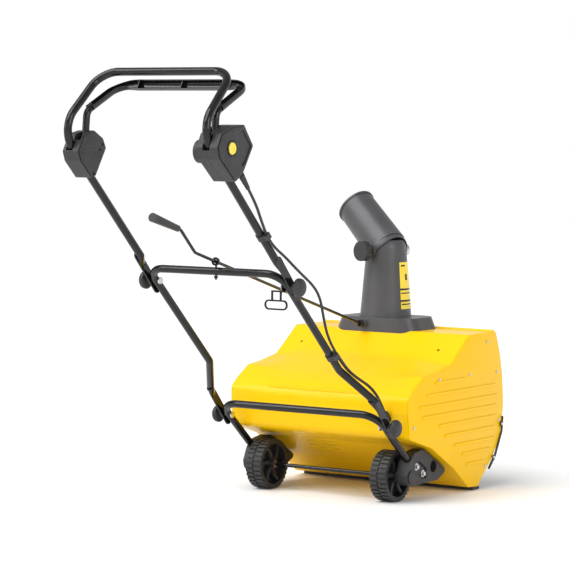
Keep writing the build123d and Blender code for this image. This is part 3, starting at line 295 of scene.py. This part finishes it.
def frames_along(points, first_side):
    """(point, side, lift) at each point, carried along the path without twist."""
    result = []
    side = Vector(first_side)
    for index, point in enumerate(points):
        before = points[max(index - 1, 0)]
        after = points[min(index + 1, len(points) - 1)]
        way = (after - before).normalized()
        side = (side - way * side.dot(way)).normalized()
        result.append((point, side, way.cross(side)))
    return result


def sweep(frames, profile):
    """Vertices and faces of a closed profile [(side, lift)] in metres carried along frames."""
    verts, faces = [], []
    count = len(profile)
    for point, side, lift in frames:
        verts += [point + side * a + lift * b for a, b in profile]
    for ring in range(len(frames) - 1):
        for spot in range(count):
            a, b = ring * count + spot, ring * count + (spot + 1) % count
            faces.append((a, b, b + count, a + count))
    faces.append(tuple(range(count)))
    faces.append(tuple(range(len(verts) - 1, len(verts) - count - 1, -1)))
    return verts, faces


def circle(radius, sides=16, flat=1.0):
    """A round or squashed profile in millimetres, returned in metres."""
    return [(radius * MM * math.cos(2 * math.pi * k / sides), radius * MM * flat * math.sin(2 * math.pi * k / sides))
            for k in range(sides)]


def joined(parts):
    """Several (verts, faces) as one."""
    verts, faces = [], []
    for more_verts, more_faces in parts:
        shift = len(verts)
        verts += more_verts
        faces += [tuple(index + shift for index in face) for face in more_faces]
    return verts, faces


def bar(start, end, radius, sides=24, end_radius=None):
    """A round bar between two own-millimetre points, with an optional other end radius."""
    start, end = own(*start), own(*end)
    way = (end - start).normalized()
    side = way.orthogonal().normalized()
    lift = way.cross(side)
    far = radius if end_radius is None else end_radius
    verts = [start + (side * a + lift * b) for a, b in circle(radius, sides)]
    verts += [end + (side * a + lift * b) for a, b in circle(far, sides)]
    faces = [(k, (k + 1) % sides, (k + 1) % sides + sides, k + sides) for k in range(sides)]
    faces += [tuple(range(sides)), tuple(range(2 * sides - 1, sides - 1, -1))]
    return verts, faces


def flat_shape(name, x, thickness, outlines, material_slot, body, bevel=0.6, stands_for=(), smooth=35.0):
    """A plate in a plane of constant X with holes: outlines are own (y, z) lists, the first one outside.
    x is its inner face, and a negative thickness goes to the left."""
    curve = bpy.data.curves.new(name, "CURVE")
    curve.dimensions = "2D"
    curve.fill_mode = "BOTH"
    curve.extrude = abs(thickness) / 2 * MM - bevel * MM
    curve.bevel_depth = bevel * MM
    curve.bevel_resolution = 2
    curve.offset = -bevel * MM
    for outline in outlines:
        spline = curve.splines.new("POLY")
        spline.points.add(len(outline) - 1)
        for spot, (y, z) in zip(spline.points, outline):
            spot.co = ((y - MIDDLE_Y) * MM, z * MM, 0, 1)
        spline.use_cyclic_u = True
    holder = bpy.data.objects.new(name, curve)
    mesh = bpy.data.meshes.new_from_object(holder)
    bpy.data.objects.remove(holder)
    middle_x = (x + thickness / 2) * MM
    mesh.transform(Matrix(((0, 0, 1, middle_x), (1, 0, 0, 0), (0, 1, 0, 0), (0, 0, 0, 1))))
    return add_piece(name, mesh, material_slot, body, stands_for, smooth)


def loop2(corners, radius, arc_steps=5):
    """A closed outline of (y, z) corners with rounded corners."""
    spots = [Vector(c) for c in corners]
    count = len(spots)
    result = []
    for index in range(count):
        before, here, after = spots[index - 1], spots[index], spots[(index + 1) % count]
        back, ahead_way = (before - here).normalized(), (after - here).normalized()
        half = math.acos(max(-1, min(1, back.dot(ahead_way)))) / 2
        reach = min(radius / math.tan(half), 0.48 * min((before - here).length, (after - here).length))
        real = reach * math.tan(half)
        first, last = here + back * reach, here + ahead_way * reach
        middle = here + (back + ahead_way).normalized() * (real / math.sin(half))
        turn = math.pi - 2 * half
        for step in range(arc_steps + 1):
            angle = turn * step / arc_steps
            spot = middle + (first - middle) * (math.sin(turn - angle) / math.sin(turn)) + (
                last - middle) * (math.sin(angle) / math.sin(turn))
            result.append((spot.x, spot.y))
    return result


def ring2(y, z, radius, sides=32):
    """A round outline in (y, z)."""
    return [(y + radius * math.cos(2 * math.pi * k / sides), z + radius * math.sin(2 * math.pi * k / sides))
            for k in range(sides)]


def spline_points(controls, steps=10):
    """Points along a smooth spline through a route's control points."""
    curve = bpy.data.curves.new("route", "CURVE")
    curve.dimensions = "3D"
    curve.resolution_u = steps
    spline = curve.splines.new("NURBS")
    spline.points.add(len(controls) - 1)
    for spot, place in zip(spline.points, controls):
        spot.co = (*own(*place), 1)
    spline.order_u = 3
    spline.use_endpoint_u = True
    holder = bpy.data.objects.new("route", curve)
    mesh = bpy.data.meshes.new_from_object(holder)
    points = [v.co.copy() for v in mesh.vertices]
    bpy.data.objects.remove(holder)
    bpy.data.meshes.remove(mesh)
    return points


# ---------------------------------------------------------------- housing skin
HALF_W, COVER_IN = 265.0, 262.0
COWL = [(613.4, 322), (589, 403), (452, 403), (357, 333), (286, 320), (227, 313), (178, 284), (152, 262), (152, 225),
        (162, 163), (268, 131), (376, 70), (455, 12), (504, 9.3)]
EDGE_RADII = (6, 8, 20, 16, 16, 14, 14, 12, 12, 12, 10, 8)
SOFT_RADII = (6, 14, 150, 300, 130, 150, 34, 150, 26, 60, 20, 8)
MIDDLE_LIFT = {3: 12, 4: 4, 5: -8}     # mm that the middle's corners stand above the sides'
DISH = (-20.0, 168.0, 262.0)
PROFILE_ARC, PROFILE_RUN = 7, 5


def eased(value, low, high):
    """0 below low, 1 above high and smooth between."""
    share = max(0.0, min(1.0, (value - low) / (high - low)))
    return share * share * (3 - 2 * share)


def cowl_profile(x):
    """The cowl's outline at one width, softer towards the middle."""
    share = 1 - eased(abs(x), 150, 255)
    corners = [(y, z + MIDDLE_LIFT.get(index, 0) * share) for index, (y, z) in enumerate(COWL)]
    radii = [edge + (soft - edge) * share for edge, soft in zip(EDGE_RADII, SOFT_RADII)]
    return rounded_path(corners, radii, PROFILE_ARC, PROFILE_RUN)


columns = [-COVER_IN, -258, -252, -244] + [x for x in range(-232, 233, 16)] + [244, 252, 258, COVER_IN]
skin_verts, skin_faces = [], []
for x in columns:
    for y, z in cowl_profile(x):
        hollow = math.exp(-((x - DISH[0]) / 62) ** 2 - ((y - DISH[1]) / 40) ** 2 - ((z - DISH[2]) / 30) ** 2)
        skin_verts.append(own(x, y + 3.2 * hollow, z - 1.6 * hollow))
per_column = len(skin_verts) // len(columns)
for column in range(len(columns) - 1):
    for spot in range(per_column - 1):
        a = column * per_column + spot
        skin_faces.append((a, a + 1, a + 1 + per_column, a + per_column))
skin = bpy.data.meshes.new("cowl_skin")
skin.from_pydata([tuple(v) for v in skin_verts], [], skin_faces)
work = bmesh.new()
work.from_mesh(skin)
bmesh.ops.recalc_face_normals(work, faces=work.faces)
if work.faces[0].normal.dot(Vector((0, 1, 0.3))) < 0:
    bmesh.ops.reverse_faces(work, faces=work.faces)
work.to_mesh(skin)
work.free()
skin_object = bpy.data.objects.new("cowl_skin_work", skin)
bpy.context.scene.collection.objects.link(skin_object)
wall = skin_object.modifiers.new("wall", "SOLIDIFY")
wall.thickness = 3.2 * MM
wall.offset = -1

VENT_HALF_LENGTH, VENT_HALF_WIDTH = 47.0, 3.6
POCKET_X, POCKET_R = 208.0, 4.2
THROAT_R = 62.0
VENTS = [(-52, 186), (-59, 229), (-66, 266), (-73, 290), (-80, 311), (-87, 331)]
cutters = []
for x, y in VENTS:
    low, high = (own(x - VENT_HALF_LENGTH, y - VENT_HALF_WIDTH, 60),
                 own(x + VENT_HALF_LENGTH, y + VENT_HALF_WIDTH, 200))
    corners = [Vector((a, b, c)) for a in (low.x, high.x) for b in (low.y, high.y) for c in (low.z, high.z)]
    cutters.append((corners, [(0, 1, 3, 2), (4, 6, 7, 5), (0, 4, 5, 1), (2, 3, 7, 6), (0, 2, 6, 4), (1, 5, 7, 3)]))
for x in (-POCKET_X, POCKET_X):
    cutters.append(bar((x, 404, 350), (x - 10, 376, 402), POCKET_R, 20))
cutters.append(bar((-26, 516, 380), (-26, 516, 430), THROAT_R, 64))
cut_verts, cut_faces = joined(cutters)
cut_mesh = bpy.data.meshes.new("cowl_cuts")
cut_mesh.from_pydata([tuple(v) for v in cut_verts], [], cut_faces)
work = bmesh.new()
work.from_mesh(cut_mesh)
bmesh.ops.recalc_face_normals(work, faces=work.faces)
work.to_mesh(cut_mesh)
work.free()
cut_object = bpy.data.objects.new("cowl_cuts", cut_mesh)
bpy.context.scene.collection.objects.link(cut_object)
cutting = skin_object.modifiers.new("cuts", "BOOLEAN")
cutting.operation = "DIFFERENCE"
cutting.solver = "EXACT"
cutting.object = cut_object
bpy.context.view_layer.update()
shell_mesh = bpy.data.meshes.new_from_object(skin_object.evaluated_get(bpy.context.evaluated_depsgraph_get()))
shell_mesh.name = "cowl_shell"
bpy.data.objects.remove(skin_object)
bpy.data.objects.remove(cut_object)
add_piece("cowl_shell", shell_mesh, "housing_yellow", "housing", ["housing_shell"], 24.0)
# A dark sheet inside the cowl behind the vents, where there is only shade: painted shade that keeps the vent slots
# dark.
shade_line = [own(-40, y, z) for y, z in ((172, 178), (268, 143), (350, 98))]
shade_verts, shade_faces = sweep(frames_along(shade_line, (1, 0, 0)),
                                 [(a * MM, b * MM) for a, b in ((-100, -0.6), (100, -0.6), (100, 0.6), (-100, 0.6))])
add_mesh("vent_painted_shade", shade_verts, shade_faces, "black_plastic", "housing")

FRONT_EDGE = [(504, 9), (527, 33), (577, 75), (618, 128), (634, 208), (626, 287), (611, 348)]
edge_profile = [(p.x, p.y) for p in rounded_path(COWL, EDGE_RADII, PROFILE_ARC, 1)]
front_profile = [(p.x, p.y) for p in rounded_path(FRONT_EDGE, (30, 60, 60, 80, 80), 6, 1)]
cover_outline = edge_profile[1:-1] + front_profile
RIBS = [(278, 431, 293), (240, 589, 265), (204, 599, 237), (217, 594, 211), (301, 593, 184),
        (330, 588, 156), (376, 589, 127), (416, 563, 101), (439, 530, 72)]
for side, side_name in ((-1, "left"), (1, "right")):
    flat_shape(f"cover_{side_name}", side * COVER_IN, side * (HALF_W - COVER_IN), [cover_outline], "housing_yellow",
               "housing", 1.45, [f"side_cover_{side_name}"])
    for number, (rear_end, front_end, height) in enumerate(RIBS):
        slot_line = loop2([(rear_end, height - 4.2), (front_end, height - 4.2), (front_end, height + 4.2),
                           (rear_end, height + 4.2)], 4.1)
        flat_shape(f"cover_{side_name}_rib_{number}", side * (HALF_W - 1.6), side * 4.6, [slot_line],
                   "housing_yellow", "housing", 2.1)
lip = rounded_path([own(-258, 586, 403), own(258, 586, 403)], [], 1, 12)
lip_verts, lip_faces = sweep(frames_along(lip, (0, 1, 0)), [(a, b) for a, b in circle(4.5, 12, 1.0)])
add_mesh("cowl_front_lip", lip_verts, lip_faces, "housing_yellow", "housing")

# ---------------------------------------------------------------- wear strips: a thin bar with two bolts a side
STRIP = [(624, 182), (630, 178), (626, 140), (592, 78), (558, 46), (554, 52), (586, 84), (620, 142)]
STRIP_BOLTS = [(620, 160), (580, 76)]
for side, side_name in ((-1, "left"), (1, "right")):
    flat_shape(f"wear_strip_{side_name}", side * (HALF_W + 0.01), side * 3.4, [loop2(STRIP, 4)], "black_plastic",
               "housing", 0.8, ["wear_strips"])
    washers = joined([bar((side * (HALF_W + 2), y, z), (side * (HALF_W + 4.6), y, z), 7.0, 24)
                      for y, z in STRIP_BOLTS])
    heads = joined([bar((side * (HALF_W + 4), y, z), (side * (HALF_W + 7.4), y, z), 4.6, 20, 3.4)
                    for y, z in STRIP_BOLTS])
    add_mesh(f"wear_strip_washers_{side_name}", *washers, "frame_black", "housing", (), 35.0, 0.6)
    add_mesh(f"wear_strip_bolts_{side_name}", *heads, "zinc_steel", "housing", (), 35.0, 0.5)

# ---------------------------------------------------------------- bail: a hollow channel open to the handle
BAIL_X = 182.0
BAR_ROLL = math.radians(37)        # the crossbar's opening turns towards the handle
bail_line = [(-BAIL_X, -540, 966), (-BAIL_X, -430, 1020), (BAIL_X, -430, 1020), (BAIL_X, -540, 966)]
bail_points = rounded_path([own(*p) for p in bail_line], [40 * MM, 40 * MM], 9, 14)
HALF_CHANNEL, BACK, FRONT_LIP, CHANNEL_T = 11.0, -8.0, 7.0, 2.3
CHANNEL_ROUND = 9.0                # depth of the channel's rounded back
BAR_WIDEN = 0.18                   # how much wider the crossbar is than the legs


def channel_profile():
    """Closed outline of a rounded U, open on the positive side."""
    outer, inner = [], []
    for angle in range(180, 361, 15):
        c, s = math.cos(math.radians(angle)), math.sin(math.radians(angle))
        outer.append((HALF_CHANNEL * c, BACK + CHANNEL_ROUND + CHANNEL_ROUND * s))
        inner.append(((HALF_CHANNEL - CHANNEL_T) * c,
                      BACK + CHANNEL_ROUND + (CHANNEL_ROUND - CHANNEL_T) * s))
    ring = [(-HALF_CHANNEL, FRONT_LIP)] + outer + [(HALF_CHANNEL, FRONT_LIP)]
    ring += [(HALF_CHANNEL - CHANNEL_T, FRONT_LIP)] + inner[::-1] + [(-HALF_CHANNEL + CHANNEL_T, FRONT_LIP)]
    return [(a * MM, b * MM) for a, b in ring]


bail_frames = []
for point, side, lift in frames_along(bail_points, (1, 0, 0)):
    share = 1 - eased(abs(point.x) / MM, 120, 178)
    roll = Matrix.Rotation(BAR_ROLL * share, 3, side.cross(lift))
    bail_frames.append((point, roll @ -side * (1 + BAR_WIDEN * share), roll @ -lift))
bail_parts = [sweep(bail_frames, channel_profile())]
for rib_x in (-124, 0, 124):
    rib_line = [own(rib_x - 1.2, -430, 1020), own(rib_x + 1.2, -430, 1020)]
    near = min(bail_frames, key=lambda f: abs(f[0].x))
    web = [(10 * MM * math.cos(math.radians(a)), (BACK + CHANNEL_ROUND + 8 * math.sin(math.radians(a))) * MM)
           for a in range(180, 361, 15)] + [(10 * MM, 5.5 * MM), (-10 * MM, 5.5 * MM)]
    bail_parts.append(sweep([(spot, near[1], near[2]) for spot in rib_line], web))
for side in (-1, 1):
    leg = [own(side * BAIL_X, y, z) for y, z in ((-530, 971), (-552, 960), (-558, 895))]
    bail_parts.append(sweep(frames_along(rounded_path(leg, [26 * MM], 9), (1, 0, 0)), circle(8.5, 24)))
    bail_parts.append(bar((side * (BAIL_X - 8.8), -558, 895), (side * (BAIL_X + 8.8), -558, 895), 8.6))
add_mesh("bail_channel", *joined(bail_parts), "frame_black", "bail", ["bail_lever"], 40.0, 0.4, 2)

# ---------------------------------------------------------------- cable
CABLE_A = [(213, -470, 789), (213, -440, 756), (212.5, -416, 716), (211, -392, 682), (210, -360, 654),
           (209.5, -314, 630), (209, -272, 604), (209, -232, 580), (209, -192, 557), (208.5, -162, 527),
           (208, -148, 486), (207.5, -132, 444), (207, -104, 406), (207, -80, 384)]
CABLE_B = [(207, -86, 389), (207, -62, 368), (208, -34, 345), (209, 8, 323), (209, 56, 303), (208.5, 96, 276),
           (208, 124, 244), (207, 148.5, 215)]


def shifted(route, amount, near_end=3):
    """The same route moved sideways in X, brought together towards its end."""
    count = len(route)
    return [(x + amount * min(1, (count - 1 - k) / near_end), y, z) for k, (x, y, z) in enumerate(route)]


cable_a = spline_points(CABLE_A)
piece = add_mesh("cable_run_a", *sweep(frames_along(cable_a, (1, 0, 0)), circle(3.3, 14)), "cord_rubber", None,
                 ["cable_upper", "cable_middle"])
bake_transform(piece)
lead_parts = []
for amount in (-2.7, 2.7):
    lead_parts.append(sweep(frames_along(spline_points(shifted(CABLE_B, amount)), (1, 0, 0)), circle(2.4, 12)))
piece = add_mesh("cable_run_b", *joined(lead_parts), "cord_rubber", None, ["cable_lower"])
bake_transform(piece)

# ---------------------------------------------------------------- flattened tube ends
LOW_TONGUE_X, MID_TONGUE_X = 242.8, 200.8
for name, body, tube_end, tube_way, flat_x, flat_spot in (
        ("handle_flat", "handle", (195.4, -331, 622), (0, 306, -301), MID_TONGUE_X + 2, (-303, 591)),
        ("middle_flat", "middle", (239, 22, 272), (25, 40, -36), LOW_TONGUE_X + 2, (50, 247.5))):
    flat_parts = []
    for side in (-1, 1):
        way = Vector((side * tube_way[0], tube_way[1], tube_way[2])).normalized()
        start = own(side * tube_end[0], tube_end[1], tube_end[2])
        finish = own(side * flat_x, *flat_spot)
        verts, count = [], 24
        for step in range(7):
            share = eased(step / 6, 0, 1)
            point = start.lerp(finish, step / 6)
            point.x = start.x + (finish.x - start.x) * share
            across_way = Vector((1, 0, 0))
            lift = way.cross(across_way).normalized()
            half_a, half_b = 9.6 + (2.2 - 9.6) * share, 9.6 + (11.2 - 9.6) * share
            for k in range(count):
                turn = 2 * math.pi * k / count
                verts.append(point + across_way * (half_a * MM * math.cos(turn))
                             + lift * (half_b * MM * math.sin(turn)))
        faces = [(r * count + k, r * count + (k + 1) % count, (r + 1) * count + (k + 1) % count, (r + 1) * count + k)
                 for r in range(6) for k in range(count)]
        faces += [tuple(range(count)), tuple(range(7 * count - 1, 6 * count - 1, -1))]
        flat_parts.append((verts, faces))
    add_mesh(name, *joined(flat_parts), "frame_black", body)

# ---------------------------------------------------------------- switch box and pivot box faces
SWITCH = [(-549, 929), (-506, 932), (-492, 913), (-470, 885), (-511, 821), (-541, 804), (-601, 855), (-610, 880),
          (-593, 912)]
PIVOT = [(-580, 908), (-542, 916), (-508, 897), (-497, 875), (-535, 812), (-552, 806), (-594, 846), (-602, 868)]


def inset(corners, amount):
    """The corners moved towards the outline's middle."""
    middle_y = sum(c[0] for c in corners) / len(corners)
    middle_z = sum(c[1] for c in corners) / len(corners)
    result = []
    for y, z in corners:
        reach = math.hypot(y - middle_y, z - middle_z)
        result.append((y + (middle_y - y) * amount / reach, z + (middle_z - z) * amount / reach))
    return result


PANEL = [(-533, 915), (-512, 920), (-500, 906), (-481, 884), (-503, 848), (-517, 838), (-528, 856), (-530, 884)]
flat_shape("switch_face", 226, 2.6, [loop2(inset(SWITCH, 4), 7), loop2(PANEL, 6), ring2(-555, 879, 17.5)],
           "black_plastic", "handle", 1.1)
flat_shape("switch_button_ring", 226, 4.2, [ring2(-555, 879, 18.5), ring2(-555, 879, 15.0)], "frame_black", "handle",
           0.9)
flat_shape("pivot_face", -169, 2.2, [loop2(inset(PIVOT, 4), 7), ring2(-512, 884, 3.4, 16), ring2(-522, 872, 3.4, 16),
                                      ring2(-545, 816, 3.6, 16)], "black_plastic", "handle", 1.0)

# ---------------------------------------------------------------- domed clamp knobs
KNOB_PROFILE = [(0, 0), (0, 0.42), (0.3, 0.42), (0.36, 0.9), (0.42, 0.99), (0.6, 1), (0.78, 0.94), (0.9, 0.8),
                (0.97, 0.5), (1, 0.01)]
body_of = {node: body for body, group in frame["record"]["behaviour"]["bodies"].items() for node in group}
for place in ("lower", "middle"):
    for side, side_name in ((-1, "left"), (1, "right")):
        node = f"{place}_knob_{side_name}"
        spots = [nodes[node].matrix_world @ Vector(c) for c in nodes[node].bound_box]
        low = Vector(min(spot[axis] for spot in spots) for axis in range(3))
        high = Vector(max(spot[axis] for spot in spots) for axis in range(3))
        inner, outer = (low.x, high.x) if side > 0 else (high.x, low.x)
        radius = (high.z - low.z) / 2
        count, verts = 40, []
        for along, reach in KNOB_PROFILE:
            for k in range(count):
                turn = 2 * math.pi * k / count
                verts.append(Vector((inner + (outer - inner) * along,
                                     (low.y + high.y) / 2 + radius * max(reach, 0.002) * math.cos(turn),
                                     (low.z + high.z) / 2 + radius * max(reach, 0.002) * math.sin(turn))))
        rings = len(KNOB_PROFILE)
        faces = [(r * count + k, r * count + (k + 1) % count, (r + 1) * count + (k + 1) % count, (r + 1) * count + k)
                 for r in range(rings - 1) for k in range(count)]
        faces += [tuple(range(count)), tuple(range(rings * count - 1, (rings - 1) * count - 1, -1))]
        add_mesh(f"{node}_dome", verts, faces, slot_of[node], body_of[node], [node], 50.0)

# ---------------------------------------------------------------- label panels on the chute
CHUTE_X, CHUTE_Y = -26.0, 516.0


def cone_patch(low, high, first, last, grow, steps=16):
    """A thin curved patch on the tower between two heights and two azimuths."""
    verts, faces = [], []
    for step in range(steps + 1):
        turn = math.radians(first + (last - first) * step / steps)
        for z in (low, high):
            for extra in (0.0, 0.35):
                reach = 53 + (68 - 53) / (606 - 429) * (606 - z) + grow + extra
                verts.append(own(CHUTE_X + reach * math.sin(turn), CHUTE_Y - reach * math.cos(turn), z))
    for step in range(steps):
        a, b = 4 * step, 4 * step + 4
        faces += [(a + 1, b + 1, b + 3, a + 3), (a, a + 2, b + 2, b), (a + 2, a + 3, b + 3, b + 2),
                  (a, b, b + 1, a + 1)]
    faces += [(0, 1, 3, 2), (4 * steps, 4 * steps + 2, 4 * steps + 3, 4 * steps + 1)]
    return verts, faces


LABEL_FIRST, LABEL_LAST = 69.0, 125.0
panels = [cone_patch(low, high, LABEL_FIRST, LABEL_LAST, 0.2) for low, high in ((509, 577), (479, 504), (455, 474))]
add_mesh("label_panels", *joined(panels), "label_yellow", "chute", ["safety_label"])
bars = [cone_patch(low, high, first, last, 0.6) for low, high, first, last in (
    (504.6, 508.0, 69, 125), (495, 498, 71, 123), (474.6, 478.0, 69, 125), (466, 469, 71, 123),
    (530, 546, 88, 97), (566, 570, 74, 90))]
add_mesh("label_marks", *joined(bars), "frame_black", "chute")

# ---------------------------------------------------------------- rounded edges of shown CAD pieces
for node, width in (("switch_box_inner", 2.4), ("switch_box_outer", 3.2), ("pivot_box_inner", 2.4),
                    ("pivot_box_outer", 3.2), ("wheel_brackets", 1.2), ("chute_base", 2.5), ("wheel_left", 0.6),
                    ("wheel_right", 0.6), ("deflector_knob", 1.8),
                    ("cable_clip_lower", 1.0), ("cable_clip_upper", 1.0),
                    ("crank_grip", 1.5), ("cord_hook", 0.8), ("scraper_bar", 0.8)):
    soften(node, width)


# ---------------------------------------------------------------- floor
floor_mesh = bpy.data.meshes.new("floor")
REACH = 12.0
floor_mesh.from_pydata([(-REACH, -REACH, -0.0002), (REACH, -REACH, -0.0002), (REACH, REACH, -0.0002),
                        (-REACH, REACH, -0.0002)], [], [(0, 1, 2, 3)])
floor = bpy.data.objects.new("floor", floor_mesh)
bpy.context.scene.collection.objects.link(floor)
floor_look, floor_nodes, floor_link, floor_shader, floor_place = graph("floor_paint")
floor_tone = noise(floor_nodes, floor_link, floor_place, 0.6, 1.0)
floor_link(ramp(floor_nodes, floor_link, floor_tone, 0.3, 0.7, (0.93, 0.93, 0.93), (0.95, 0.95, 0.95)),
           floor_shader.inputs["Base Color"])
floor_shader.inputs["Roughness"].default_value = 0.9
floor_mesh.materials.append(floor_look)
